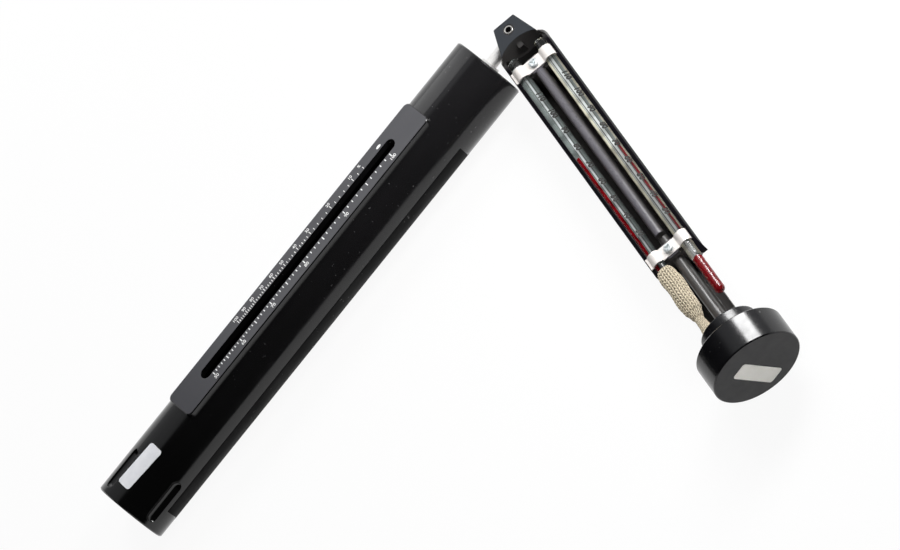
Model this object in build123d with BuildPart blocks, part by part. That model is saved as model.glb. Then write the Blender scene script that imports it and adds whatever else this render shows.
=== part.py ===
from build123d import *
from math import asin, cos, hypot, radians, sin, sqrt
import os

# Sling psychrometer, in millimetres. The origin is the centre of the handle tube's closed end, +X
# runs along the tube to its mouth, and +Z is up from the table that tube and cap lie on.
# Places on the tube are counted from its closed end, places on the carrier from the hinge rivet.

# Handle tube
tube_length = 210.0
tube_r = 14.3
tube_wall = 1.9
tube_edge = 0.5  # bevel of both rims
lip_length = 3.0  # lip at the mouth that keeps the slider in
lip_step = 0.5

# Slide-rule pad on the tube and the reading slot through it
pad_from_closed_end = 41.4
pad_from_mouth = 29.0
pad_width = 14.6
pad_rise = 0.55  # the flat face stands this far over the barrel's top line
pad_turn = 12.4  # degrees from straight up, away from the carrier
pad_corner_r = 2.2
pad_edge = 0.35
slot_inset = 14.0  # from each end of the pad
slot_width = 4.8

# Scoops in the outside of the tube near its closed end
scoop_count = 4
scoop_turn = -27.0  # degrees from straight up to the first one, towards the carrier
scoop_start = 2.0
scoop_length = 18.8
scoop_r = 2.6
scoop_depth = 1.2

# Shallow strip along the tube's side
strip_from_closed_end = 8.8
strip_from_mouth = 29.6
strip_turn = 100.0  # degrees from straight up to its middle
strip_span = 42.0
strip_depth = 0.15

# Sticker on the tube
tube_sticker_length = 18.8
tube_sticker_width = 6.3
tube_sticker_start = 6.6
tube_sticker_turn = -1.5  # degrees from straight up
tube_sticker_angle = -3.5
sticker_corner_r = 1.2
sticker_thickness = 0.12

# End plug
plug_thickness = 3.2
plug_skirt_length = 9.0
plug_skirt_wall = 1.4
plug_skirt_edge = 0.35
plug_gap = 0.02

# Slider, rod, washers and nut
slider_length = 12.0
slider_gap = 0.12
slider_edge = 0.25
nose_length = 2.0
nose_gap = 0.25
rod_r = 2.38
rod_gap = 0.05
collar_ring_r = 3.8  # collar turned on the rod in front of the slider
collar_ring_length = 1.2
washer_r = 4.4
washer_thickness = 0.8
thrust_gap = 0.05
nut_across_flats = 8.0
nut_length = 3.2
rod_tail = 1.2  # rod end behind the nut
rod_edge = 0.3

# Hinge between rod and carrier
fold_angle = 76.5  # between the tube and the carrier as it lies
rim_gap = 0.85  # between the folded carrier and the tube's rim
eye_r = 3.2
eye_thickness = 4.2
tang_length = 2.0  # flat stretch between the eye and the round shank
hinge_washer_r = 2.9
hinge_washer_thickness = 0.5
cheek_gap = 0.05
rivet_r = 1.35
rivet_bore_r = 1.05
rivet_flange_r = 1.75
rivet_flange_height = 0.3
rivet_roll_r = 0.24
rivet_seat_r = 2.2
rivet_seat_depth = 0.15
rivet_gap = 0.02

# Carrier, a half-round trough with a wedge-shaped head
stow_gap = 1.6  # between the carrier and the tube's lip when it is pushed in
carrier_wall = 1.4
rim_height = 2.8  # the trough's rims above the carrier's axis
head_tip = 4.0
head_tip_half_width = 4.7
head_root_half_width = 8.3
tip_edge_r = 0.6
shoulder_at = 7.8
cheek_thickness = 2.7
fork_depth = 5.0
scoop_face_at = 4.8  # where the trough's rounded end meets the head's flat top
scoop_face_r = 14.4
upper_slope = 0.45  # run per height of the rounded end, above and below the rims
lower_slope = 0.5
scoop_face_depth = 4.8
gusset_width = 2.2  # short rib behind the rounded end
gusset_height = 3.4
gusset_end = 7.9
shoulder_length = 4.0
trough_length = 111.8
long_wall = 4.8  # the wall beside the dry bulb reaches this much further
long_wall_depth = 1.9  # below the rims
flare_length = 9.0
flare_step = 0.6
rib_width = 3.9
rib_height = 3.0
rib_step = 8.0  # the rib stops this far short of the lower clip
stem_length = 34.9
stem_half_width = 5.6
stem_rib_width = 4.4
stem_rib_height = 0.6

# Collar, spigot and reservoir cap
collar_gap = 0.55  # between the collar and the tube's lip when the carrier is pushed in
collar_length = 6.9
collar_wall = 2.0
collar_edge = 0.5
radius_match = 0.05  # how near a radius counts as the collar's own
spigot_length = 4.5
spigot_step = 1.15
spigot_wall = 1.2
seal_thickness = 0.6
seal_gap = 0.05
cap_overhang = 3.5  # the cap is this much larger in radius than the tube
cap_length = 12.9
cap_wall = 2.0
cap_edge = 0.4
neck_thickness = 2.0
neck_gap = 0.1
cap_sticker_length = 21.0
cap_sticker_width = 7.2
cap_sticker_across = -1.4  # its middle, from the cap's axis
cap_sticker_up = -3.0
cap_sticker_angle = -67.5

# Thermometers, clips and wick
glass_r = 2.3
glass_height = 2.0  # of the thermometers' axes over the carrier's
glass_wall_gap = 0.08  # between the glass and the trough's wall
glass_round = 1.15  # length of the rounded upper end, and of the taper to the bulb
glass_end_gap = 0.3  # between the glass ends and the trough's rounded end
glass_seat_gap = 0.05
bulb_r = 1.95
bulb_wall = 0.35
bulb_neck = 5.2  # from the trough's end to the start of the bulbs
bulb_to_collar = 12.0
capillary_r = 0.35
capillary_top = 4.0  # closed glass above the capillary
spirit_gap = 0.03
dry_column_at = 64.6
wet_column_at = 60.5
clip_width = 5.0
clip_sheet = 0.5
upper_clip_at = 17.1
lower_clip_from_trough_end = 4.6
clip_gap = 0.05
clip_foot = 1.2  # reach of each band's foot over the short wall's rim
saddle_margin = 0.6
saddle_height = 1.0
boss_width = 5.0
screw_r = 1.0
screw_length = 7.0
screw_head_r = 2.0
screw_head_height = 1.3
screw_head_round = 0.9
screw_slot_length = 2.4
screw_slot_width = 0.5
screw_slot_depth = 0.6
screw_gap = 0.02
wick_r = 3.5
wick_start = 1.2  # from the end of the short wall
wick_bore_gap = 0.1
wick_pinch_r = 1.7
wick_pinch_at = 5.0  # past the bulb's end
wick_mouth_r = 2.9
wick_mouth_round = 7.0
wick_tail_r = 1.9
wick_hole_gap = 0.4
wick_tail_length = 3.0  # reach of the tail into the reservoir behind the collar's wall

# Sizes that follow from the ones above
bore_r = tube_r - tube_wall
lip_at = tube_length - lip_length
lip_r = bore_r - lip_step
carrier_r = lip_r - stow_gap
trough_r = carrier_r - carrier_wall
collar_r = lip_r - collar_gap
spigot_r = collar_r - spigot_step
cap_r = tube_r + cap_overhang
pad_length = tube_length - pad_from_closed_end - pad_from_mouth
pad_face = tube_r + pad_rise
trough_end = shoulder_at + trough_length
bulb_start = trough_end + bulb_neck
collar_at = trough_end + stem_length
bulb_end = collar_at - bulb_to_collar
lower_clip_at = trough_end - lower_clip_from_trough_end
collar_end = collar_at + collar_length
cap_at = collar_end + seal_thickness
cap_end = cap_at + cap_length
fork_half = eye_thickness / 2 + hinge_washer_thickness + 2 * cheek_gap
head_half = fork_half + cheek_thickness
upper_drop = head_half - rim_height
rim_cut_at = scoop_face_at + upper_slope * upper_drop
cavity_from = rim_cut_at + lower_slope * scoop_face_depth
rim_half = sqrt(carrier_r**2 - rim_height**2)
trough_rim_half = sqrt(trough_r**2 - rim_height**2)
glass_reach = trough_r - glass_r - glass_wall_gap
glass_spread = sqrt(glass_reach**2 - glass_height**2)  # each thermometer, sideways from the axis
face_sag = scoop_face_r - sqrt(scoop_face_r**2 - glass_spread**2)
glass_start = rim_cut_at + lower_slope * (rim_height - glass_height + glass_r) + face_sag + glass_end_gap

# The hinge stands where the folded carrier just clears the tube's rim
fold = radians(fold_angle)
pivot_reach = (carrier_r + rim_gap + tube_r * cos(fold)) / sin(fold)

# The carrier is turned about the tube's axis until the cap's rear edge stands on the table
rise = (cap_r * sqrt(cap_at**2 + cap_r**2 - tube_r**2) - cap_at * tube_r) / (cap_at**2 + cap_r**2)
lift = asin(rise / sin(fold))
along = Vector(-cos(fold), -sin(fold) * cos(lift), sin(fold) * sin(lift))
upward = Vector(0, sin(lift), cos(lift))
carrier = Plane(origin=(tube_length + pivot_reach, 0, 0), x_dir=along, z_dir=upward)
print("pivot", round(tube_length + pivot_reach, 4), "fold axis", [round(value, 6) for value in upward])


# Planes on the tube
def tube_side(turn, height=0.0):
    """Plane over the tube's outside: x along the tube, z away from it at this turn from straight up."""
    outward = Vector(0, -sin(radians(turn)), cos(radians(turn)))
    return Plane(origin=outward * height, x_dir=(1, 0, 0), z_dir=outward)


def tube_ring(x_from, x_to, r_in, r_out):
    """Half section of a ring about the tube's axis, to be revolved."""
    with BuildSketch(Plane.XZ) as section:
        with Locations((x_from, r_in)):
            Rectangle(x_to - x_from, r_out - r_in, align=(Align.MIN, Align.MIN))
    return section.sketch


# Planes on the carrier, where x, y and z are along it, across it and up
def level(height):
    return carrier.offset(height)


def station(at, across=0.0, up=0.0):
    """Plane square to the carrier: x across it, y up."""
    origin = carrier.from_local_coords(Vector(at, across, up))
    return Plane(origin=origin, x_dir=carrier.y_dir, z_dir=carrier.x_dir)


def lengthwise(across=0.0, up=0.0):
    """Plane along the carrier: x along it, y up, for shapes revolved about its x axis."""
    origin = carrier.from_local_coords(Vector(0, across, up))
    return Plane(origin=origin, x_dir=carrier.x_dir, z_dir=-carrier.y_dir)


def carrier_ring(at_from, at_to, r_in, r_out):
    """Half section of a ring about the carrier's axis, to be revolved."""
    with BuildSketch(lengthwise()) as section:
        with Locations((at_from, r_in)):
            Rectangle(at_to - at_from, r_out - r_in, align=(Align.MIN, Align.MIN))
    return section.sketch


carrier_axis = Axis(carrier.origin, carrier.x_dir)
hinge_axis = Axis(carrier.origin, carrier.z_dir)

# Handle tube: a barrel with a raised pad, then its bore, slot, scoops and side strip
with BuildPart() as handle_tube:
    revolve(tube_ring(0, tube_length, 0, tube_r), axis=Axis.X)
    chamfer(handle_tube.edges(), tube_edge)
    pad_middle = pad_from_closed_end + pad_length / 2
    with BuildSketch(tube_side(-pad_turn)):
        with Locations((pad_middle, 0)):
            RectangleRounded(pad_length, pad_width, pad_corner_r)
    extrude(amount=pad_face)
    pad_top = handle_tube.faces().sort_by(Axis((0, 0, 0), tube_side(-pad_turn).z_dir))[-1]
    chamfer(pad_top.edges(), pad_edge)
    revolve(tube_ring(0, lip_at, 0, bore_r), axis=Axis.X, mode=Mode.SUBTRACT)
    revolve(tube_ring(lip_at, tube_length, 0, lip_r), axis=Axis.X, mode=Mode.SUBTRACT)
    with BuildSketch(tube_side(-pad_turn)):
        with Locations((pad_middle, 0)):
            SlotOverall(pad_length - 2 * slot_inset, slot_width)
    extrude(amount=pad_face, mode=Mode.SUBTRACT)
    for index in range(scoop_count):
        turn = scoop_turn + index * 360 / scoop_count
        scoop_plane = tube_side(turn, tube_r - scoop_depth + scoop_r)
        with BuildSketch(scoop_plane):
            with Locations((scoop_start + scoop_length / 2, 0)):
                SlotOverall(scoop_length, 2 * scoop_r)
            with Locations((scoop_start, 0)):
                Rectangle(scoop_length, scoop_r, align=(Align.MIN, Align.MIN), mode=Mode.INTERSECT)
        revolve(axis=Axis(scoop_plane.origin, scoop_plane.x_dir), mode=Mode.SUBTRACT)
    with BuildSketch(Plane.YZ.offset(strip_from_closed_end)):
        Circle(tube_r + tube_wall)
        Circle(tube_r - strip_depth, mode=Mode.SUBTRACT)
        with BuildLine():
            reach = 2 * tube_r
            edges = [radians(strip_turn - strip_span / 2), radians(strip_turn + strip_span / 2)]
            corners = [(-reach * sin(edge), reach * cos(edge)) for edge in edges]
            Polyline((0, 0), corners[0], corners[1], close=True)
        make_face(mode=Mode.INTERSECT)
    extrude(amount=tube_length - strip_from_closed_end - strip_from_mouth, mode=Mode.SUBTRACT)
handle_tube.part.label = "handle_tube"

# Sticker on the tube: a rounded rectangle cut from a thin skin
with BuildPart() as handle_sticker:
    revolve(tube_ring(0, tube_length, tube_r, tube_r + sticker_thickness), axis=Axis.X)
    with BuildSketch(tube_side(tube_sticker_turn)):
        with Locations((tube_sticker_start + tube_sticker_length / 2, 0)):
            RectangleRounded(tube_sticker_length, tube_sticker_width, sticker_corner_r, tube_sticker_angle)
    extrude(amount=tube_r + tube_wall, mode=Mode.INTERSECT)
handle_sticker.part.label = "handle_sticker"

# End plug: a disc with a skirt, inside the closed end
with BuildPart() as handle_end_plug:
    plug_r = bore_r - plug_gap
    revolve(tube_ring(0, plug_skirt_length, 0, plug_r), axis=Axis.X)
    skirt_r = plug_r - plug_skirt_wall
    revolve(tube_ring(plug_thickness, plug_skirt_length, 0, skirt_r), axis=Axis.X, mode=Mode.SUBTRACT)
    inner_rim = handle_end_plug.edges().filter_by(GeomType.CIRCLE).group_by(Axis.X)[-1]
    chamfer(inner_rim, plug_skirt_edge)
handle_end_plug.part.label = "handle_end_plug"

# Slider: a piston behind the lip, its nose in the lip, bored for the rod
slider_front = lip_at
slider_back = slider_front - slider_length
nose_front = slider_front + nose_length
with BuildPart() as swivel_slider:
    revolve(tube_ring(slider_back, slider_front, rod_r + rod_gap, bore_r - slider_gap), axis=Axis.X)
    revolve(tube_ring(slider_front, nose_front, rod_r + rod_gap, lip_r - nose_gap), axis=Axis.X)
    outer_rims = swivel_slider.edges().filter_by(GeomType.CIRCLE).filter_by(
        lambda edge: edge.radius > lip_r - nose_gap - lip_step and edge.center().X != slider_front
    )
    chamfer(outer_rims, slider_edge)
swivel_slider.part.label = "swivel_slider"

# Rod: a flat eye round the rivet, a collar in front of the slider, a plain shank through it
ring_back = nose_front + thrust_gap + washer_thickness
nut_front = slider_back - thrust_gap - washer_thickness
rod_back = nut_front - nut_length - rod_tail
with BuildPart() as swivel_rod:
    revolve(tube_ring(rod_back, carrier.origin.X - eye_r, 0, rod_r), axis=Axis.X)
    revolve(tube_ring(ring_back, ring_back + collar_ring_length, 0, collar_ring_r), axis=Axis.X)
    eye_plane = Plane(origin=carrier.origin, x_dir=(1, 0, 0), z_dir=upward)
    with BuildSketch(eye_plane.offset(-eye_thickness / 2)):
        Circle(eye_r)
        Rectangle(eye_r + tang_length, 2 * rod_r, align=(Align.MAX, Align.CENTER))
    extrude(amount=eye_thickness)
    with BuildSketch(level(-fork_half)):
        Circle(rivet_r + rod_gap)
    extrude(amount=2 * fork_half, mode=Mode.SUBTRACT)
    chamfer(swivel_rod.edges().filter_by(GeomType.CIRCLE).sort_by(Axis.X)[0], rod_edge)
swivel_rod.part.label = "swivel_rod"

# Thrust washers, one on each side of the slider
with BuildPart() as thrust_washers:
    for washer_from in (nose_front + thrust_gap, nut_front):
        washer_to = washer_from + washer_thickness
        revolve(tube_ring(washer_from, washer_to, rod_r + rod_gap, washer_r), axis=Axis.X)
thrust_washers.part.label = "thrust_washers"

# Nut on the rod's inner end
with BuildPart() as rod_nut:
    with BuildSketch(Plane.YZ.offset(nut_front - nut_length)):
        RegularPolygon(nut_across_flats / 2, 6, major_radius=False)
        Circle(rod_r + rivet_gap, mode=Mode.SUBTRACT)
    extrude(amount=nut_length)
rod_nut.part.label = "rod_nut"

# Hollow rivet with a rolled flange on each cheek of the head
with BuildPart() as hinge_rivet:
    flange_under = head_half - rivet_seat_depth
    with BuildSketch(level(-flange_under - rivet_flange_height)):
        Circle(rivet_r)
    extrude(amount=2 * (flange_under + rivet_flange_height))
    for flange_from in (-flange_under - rivet_flange_height, flange_under):
        with BuildSketch(level(flange_from)):
            Circle(rivet_flange_r)
        extrude(amount=rivet_flange_height)
    top_and_bottom = hinge_rivet.faces().filter_by(GeomType.PLANE).sort_by(hinge_axis)
    fillet(top_and_bottom[0].edges() + top_and_bottom[-1].edges(), rivet_roll_r)
    with BuildSketch(level(-head_half - rivet_flange_height)):
        Circle(rivet_bore_r)
    extrude(amount=2 * (head_half + rivet_flange_height), mode=Mode.SUBTRACT)
hinge_rivet.part.label = "hinge_rivet"

# Friction washers between the rod's eye and the cheeks
with BuildPart() as hinge_washers:
    for washer_from in (eye_thickness / 2 + cheek_gap, -fork_half + cheek_gap):
        with BuildSketch(level(washer_from)):
            Circle(hinge_washer_r)
            Circle(rivet_r + rod_gap, mode=Mode.SUBTRACT)
        extrude(amount=hinge_washer_thickness)
hinge_washers.part.label = "hinge_washers"

# Carrier: head, trough, saddles, rib, stem and collar in one moulding
def carrier_direction(run):
    """Direction down into the carrier, leaning this much along it for each unit of height."""
    return carrier.x_dir * run - carrier.z_dir


with BuildPart() as carrier_body:
    with BuildSketch(level(-head_half)):
        with BuildLine():
            tip_corner = Vector(-head_tip, head_tip_half_width)
            root_corner = Vector(shoulder_at, head_root_half_width)
            far_root_corner = Vector(shoulder_at, -head_root_half_width)
            far_tip_corner = Vector(-head_tip, -head_tip_half_width)
            Polyline(tip_corner, root_corner, far_root_corner, far_tip_corner, close=True)
        make_face()
    extrude(amount=2 * head_half)
    tip_edges = carrier_body.edges().filter_by(hinge_axis).sort_by(carrier_axis)[:2]
    fillet(tip_edges, tip_edge_r)

    # Trough outside, and a full-height shoulder where it joins the head
    with BuildSketch(station(shoulder_at)):
        with BuildLine():
            ThreePointArc((-rim_half, rim_height), (0, -carrier_r), (rim_half, rim_height))
            Line((rim_half, rim_height), (-rim_half, rim_height))
        make_face()
    extrude(amount=trough_length)
    with BuildSketch(station(shoulder_at)):
        with BuildLine():
            shoulder_corners = [(-rim_half, rim_height), (-head_root_half_width, head_half)]
            shoulder_corners += [(-across, up) for across, up in reversed(shoulder_corners)]
            Polyline(*shoulder_corners, close=True)
        make_face()
    extrude(amount=shoulder_length)

    # The wall beside the dry bulb runs on and flares outwards
    with BuildSketch(station(trough_end)):
        Circle(carrier_r)
        Circle(trough_r, mode=Mode.SUBTRACT)
        with Locations((stem_half_width, rim_height)):
            Rectangle(carrier_r, long_wall_depth, align=(Align.MIN, Align.MAX), mode=Mode.INTERSECT)
    extrude(amount=long_wall)
    with BuildSketch(level(rim_height - long_wall_depth)):
        with BuildLine():
            flare_end = trough_end + long_wall
            flare_root = carrier_r - carrier_wall / 2
            flare_corners = [(flare_end - flare_length, flare_root), (flare_end, flare_root)]
            Polyline(*flare_corners, (flare_end, carrier_r + flare_step), close=True)
        make_face()
    extrude(amount=long_wall_depth)

    # Trough inside, with its rounded end sloping down from the head's flat top
    with BuildSketch(level(head_half)):
        with Locations((scoop_face_at + scoop_face_r, 0)):
            Circle(scoop_face_r)
    upper_reach = upper_drop * hypot(1, upper_slope)
    extrude(amount=upper_reach, dir=carrier_direction(upper_slope), mode=Mode.SUBTRACT)
    with BuildSketch(level(rim_height)):
        with Locations((rim_cut_at + scoop_face_r, 0)):
            Circle(scoop_face_r)
            Rectangle(2 * scoop_face_r, 2 * trough_rim_half, mode=Mode.INTERSECT)
    lower_reach = scoop_face_depth * hypot(1, lower_slope)
    extrude(amount=lower_reach, dir=carrier_direction(lower_slope), mode=Mode.SUBTRACT)
    with BuildSketch(station(cavity_from)):
        Circle(trough_r)
    extrude(amount=trough_end - cavity_from, mode=Mode.SUBTRACT)
    with BuildSketch(station(fork_depth)):
        with Locations((0, gusset_height)):
            Rectangle(gusset_width, gusset_height + carrier_r / 2, align=(Align.CENTER, Align.MAX))
    extrude(amount=gusset_end - fork_depth)

    # Saddles under both clips, each with a boss for its screw
    saddle_length = clip_width + 2 * saddle_margin
    for clip_at in (upper_clip_at, lower_clip_at):
        with BuildSketch(station(clip_at - saddle_length / 2)):
            Circle(carrier_r - carrier_wall / 2)
            with Locations((0, saddle_height - carrier_r)):
                Rectangle(2 * carrier_r, 2 * carrier_r, mode=Mode.INTERSECT)
            with Locations((-glass_spread, glass_height), (glass_spread, glass_height)):
                Circle(glass_r + glass_seat_gap, mode=Mode.SUBTRACT)
            with Locations((0, rim_height)):
                Rectangle(boss_width, carrier_r, align=(Align.CENTER, Align.MAX))
        extrude(amount=saddle_length)

    # Rib between the saddles, and the lower rib that runs on as the stem
    rib_from = upper_clip_at + clip_width / 2
    stem_rib_from = lower_clip_at + clip_width / 2
    rib_spans = [
        (rib_from, lower_clip_at - rib_step, rib_width, rib_height),
        (lower_clip_at - rib_step, lower_clip_at, rib_width, stem_rib_height),
        (stem_rib_from, collar_at, stem_rib_width, stem_rib_height),
    ]
    for span_from, span_to, width, top in rib_spans:
        with BuildSketch(station(span_from)):
            with Locations((0, top - width / 2)):
                Circle(width / 2)
                floor_reach = carrier_r - carrier_wall / 2 + top - width / 2
                Rectangle(width, floor_reach, align=(Align.CENTER, Align.MAX))
        extrude(amount=span_to - span_from)
    with BuildSketch(station(trough_end)):
        Circle(carrier_r)
        Circle(trough_r, mode=Mode.SUBTRACT)
        Rectangle(2 * stem_half_width, carrier_r, align=(Align.CENTER, Align.MAX), mode=Mode.INTERSECT)
    extrude(amount=stem_length)

    # Collar and hollow spigot for the reservoir cap, with a hole for the wick's tail
    revolve(carrier_ring(collar_at, collar_end, 0, collar_r), axis=carrier_axis)
    collar_rims = carrier_body.edges().filter_by(GeomType.CIRCLE)
    collar_rims = collar_rims.filter_by(lambda edge: abs(edge.radius - collar_r) < radius_match)
    fillet(collar_rims, collar_edge)
    spigot_end = collar_end + spigot_length
    revolve(carrier_ring(collar_end, spigot_end, 0, spigot_r), axis=carrier_axis)
    spigot_bore_r = spigot_r - spigot_wall
    hollow_at = collar_at + collar_wall
    revolve(carrier_ring(hollow_at, spigot_end, 0, spigot_bore_r), axis=carrier_axis, mode=Mode.SUBTRACT)
    with BuildSketch(station(collar_at)):
        with Locations((-glass_spread, glass_height)):
            Circle(wick_tail_r + wick_hole_gap)
    extrude(amount=collar_wall, mode=Mode.SUBTRACT)

    # Fork for the rod's eye, rivet hole with its seats, and screw holes
    with BuildSketch(level(-fork_half)):
        with Locations((fork_depth, 0)):
            Rectangle(2 * (fork_depth + head_tip), 2 * carrier_r, align=(Align.MAX, Align.CENTER))
    extrude(amount=2 * fork_half, mode=Mode.SUBTRACT)
    with BuildSketch(level(-head_half)):
        Circle(rivet_r + rivet_gap)
    extrude(amount=2 * head_half, mode=Mode.SUBTRACT)
    for seat_from in (-head_half, head_half - rivet_seat_depth):
        with BuildSketch(level(seat_from)):
            Circle(rivet_seat_r)
        extrude(amount=rivet_seat_depth, mode=Mode.SUBTRACT)
    with BuildSketch(level(rim_height)):
        with Locations((upper_clip_at, 0), (lower_clip_at, 0)):
            Circle(screw_r + screw_gap)
    extrude(amount=-screw_length, mode=Mode.SUBTRACT)
carrier_body.part.label = "carrier_body"


def spirit_room(across, column_at, gap):
    """Half section of the capillary and the bulb's hollow, smaller than the hollow by the gap."""
    column_r = capillary_r - gap
    room_r = bulb_r - bulb_wall - gap
    room_end = bulb_end - bulb_wall - gap
    neck_at = bulb_start + bulb_wall + gap
    with BuildSketch(lengthwise(across, glass_height)) as room:
        with BuildLine():
            Polyline((column_at, 0), (column_at, column_r), (neck_at, column_r), (neck_at + room_r, room_r))
            Line((neck_at + room_r, room_r), (room_end - room_r, room_r))
            RadiusArc((room_end - room_r, room_r), (room_end, 0), room_r)
            Line((room_end, 0), (column_at, 0))
        make_face()
    return room.sketch


def thermometer_glass(across):
    """Glass stem and bulb, hollow for the spirit."""
    glass_plane = lengthwise(across, glass_height)
    glass_axis = Axis(glass_plane.origin, carrier.x_dir)
    with BuildPart() as glass:
        with BuildSketch(glass_plane):
            with BuildLine():
                Spline((glass_start, 0), (glass_start + glass_round, glass_r), tangents=[(0, 1), (1, 0)])
                Line((glass_start + glass_round, glass_r), (bulb_start - glass_round, glass_r))
                Line((bulb_start - glass_round, glass_r), (bulb_start, bulb_r))
                Line((bulb_start, bulb_r), (bulb_end - bulb_r, bulb_r))
                RadiusArc((bulb_end - bulb_r, bulb_r), (bulb_end, 0), bulb_r)
                Line((bulb_end, 0), (glass_start, 0))
            make_face()
        revolve(axis=glass_axis)
        hollow = spirit_room(across, glass_start + capillary_top, 0.0)
        revolve(hollow, axis=glass_axis, mode=Mode.SUBTRACT)
    return glass.part


def thermometer_spirit(across, column_at):
    """Red spirit in the bulb and up the capillary."""
    with BuildPart() as spirit:
        spirit_axis = Axis(lengthwise(across, glass_height).origin, carrier.x_dir)
        revolve(spirit_room(across, column_at, spirit_gap), axis=spirit_axis)
    return spirit.part


# Thermometers, the dry one on the side away from the tube
dry_glass = thermometer_glass(glass_spread)
dry_glass.label = "dry_glass"
dry_spirit = thermometer_spirit(glass_spread, dry_column_at)
dry_spirit.label = "dry_spirit"
wet_glass = thermometer_glass(-glass_spread)
wet_glass.label = "wet_glass"
wet_spirit = thermometer_spirit(-glass_spread, wet_column_at)
wet_spirit.label = "wet_spirit"


def thermometer_clip(clip_at):
    """Sheet band over both glasses, screwed down on its boss, one foot on the short wall's rim."""
    band_r = glass_r + clip_gap
    plate_half = glass_spread - sqrt(band_r**2 - (rim_height - glass_height) ** 2)
    with BuildPart() as clip:
        with BuildSketch(station(clip_at - clip_width / 2)):
            with Locations((-glass_spread, glass_height), (glass_spread, glass_height)):
                Circle(band_r + clip_sheet)
                Circle(band_r, mode=Mode.SUBTRACT)
            with Locations((0, rim_height)):
                Rectangle(2 * carrier_r, carrier_r, align=(Align.CENTER, Align.MAX), mode=Mode.SUBTRACT)
                Rectangle(2 * plate_half, clip_sheet, align=(Align.CENTER, Align.MIN))
            foot_root = -2 * glass_spread + plate_half
            with Locations((foot_root, rim_height)):
                Rectangle(clip_foot, clip_sheet, align=(Align.MAX, Align.MIN))
        extrude(amount=clip_width)
        with BuildSketch(level(rim_height)):
            with Locations((clip_at, 0)):
                Circle(screw_r + screw_gap)
        extrude(amount=clip_sheet, mode=Mode.SUBTRACT)
    return clip.part


def clip_screw(clip_at):
    """Pan-head screw through a clip into its boss, with a cross recess."""
    head_from = rim_height + clip_sheet
    with BuildPart() as screw:
        with BuildSketch(level(head_from)):
            with Locations((clip_at, 0)):
                Circle(screw_r)
        extrude(amount=-screw_length + clip_sheet)
        with BuildSketch(level(head_from)):
            with Locations((clip_at, 0)):
                Circle(screw_head_r)
        extrude(amount=screw_head_height)
        fillet(screw.faces().sort_by(hinge_axis)[-1].edges(), screw_head_round)
        with BuildSketch(level(head_from + screw_head_height - screw_slot_depth)):
            with Locations((clip_at, 0)):
                Rectangle(screw_slot_length, screw_slot_width, rotation=45)
                Rectangle(screw_slot_width, screw_slot_length, rotation=45)
        extrude(amount=screw_slot_depth, mode=Mode.SUBTRACT)
    return screw.part


# Clips and their screws
upper_clip = thermometer_clip(upper_clip_at)
upper_clip.label = "upper_clip"
upper_clip_screw = clip_screw(upper_clip_at)
upper_clip_screw.label = "upper_clip_screw"
lower_clip = thermometer_clip(lower_clip_at)
lower_clip.label = "lower_clip"
lower_clip_screw = clip_screw(lower_clip_at)
lower_clip_screw.label = "lower_clip_screw"

# Wick: a sleeve over the wet bulb, drawn in past its end, with a tail through the collar
wick_plane = lengthwise(-glass_spread, glass_height)
wick_axis = Axis(wick_plane.origin, carrier.x_dir)
wick_from = trough_end + wick_start
wick_end = collar_at + collar_wall + wick_tail_length
with BuildPart() as wick:
    with BuildSketch(wick_plane):
        with BuildLine():
            swell_at = wick_from + wick_r
            pinch_at = bulb_end + wick_pinch_at
            Line((wick_from, 0), (wick_from, wick_mouth_r))
            RadiusArc((wick_from, wick_mouth_r), (swell_at, wick_r), wick_mouth_round)
            Line((swell_at, wick_r), (bulb_end - bulb_r, wick_r))
            Spline(
                (bulb_end - bulb_r, wick_r), (pinch_at, wick_pinch_r), (collar_at, wick_tail_r),
                tangents=[(1, 0), (1, 0)],
            )
            Polyline((collar_at, wick_tail_r), (wick_end, wick_tail_r), (wick_end, 0), (wick_from, 0))
        make_face()
    revolve(axis=wick_axis)
    with BuildSketch(wick_plane):
        with BuildLine():
            hollow_end = bulb_end + wick_bore_gap
            stem_hollow_r = glass_r + wick_bore_gap
            bulb_hollow_r = bulb_r + wick_bore_gap
            step_at = bulb_start + wick_bore_gap
            hollow_start = [(hollow_end, 0), (wick_from, 0), (wick_from, stem_hollow_r)]
            Polyline(*hollow_start, (step_at, stem_hollow_r), (step_at, bulb_hollow_r))
            Line((step_at, bulb_hollow_r), (hollow_end - bulb_hollow_r, bulb_hollow_r))
            RadiusArc((hollow_end - bulb_hollow_r, bulb_hollow_r), (hollow_end, 0), bulb_hollow_r)
        make_face()
    revolve(axis=wick_axis, mode=Mode.SUBTRACT)
wick.part.label = "wick"

# Seal between collar and cap
with BuildPart() as reservoir_seal:
    seal_r = collar_r - collar_edge
    revolve(carrier_ring(collar_end, cap_at, spigot_r + seal_gap, seal_r), axis=carrier_axis)
reservoir_seal.part.label = "reservoir_seal"

# Reservoir cap: a cup over the spigot
cup_r = cap_r - cap_wall
with BuildPart() as cap_shell:
    revolve(carrier_ring(cap_at, cap_end, 0, cap_r), axis=carrier_axis)
    chamfer(cap_shell.edges().filter_by(GeomType.CIRCLE), cap_edge)
    revolve(carrier_ring(cap_at, cap_end - cap_wall, 0, cup_r), axis=carrier_axis, mode=Mode.SUBTRACT)
cap_shell.part.label = "cap_shell"

# Neck ring that closes the cup round the spigot
with BuildPart() as cap_neck_ring:
    neck_end = cap_at + neck_thickness
    revolve(carrier_ring(cap_at, neck_end, spigot_r + neck_gap, cup_r - plug_gap), axis=carrier_axis)
cap_neck_ring.part.label = "cap_neck_ring"

# Sticker on the cap's end
with BuildPart() as cap_sticker:
    with BuildSketch(station(cap_end)):
        with Locations((cap_sticker_across, cap_sticker_up)):
            RectangleRounded(cap_sticker_length, cap_sticker_width, sticker_corner_r, cap_sticker_angle)
    extrude(amount=sticker_thickness)
cap_sticker.part.label = "cap_sticker"

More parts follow.
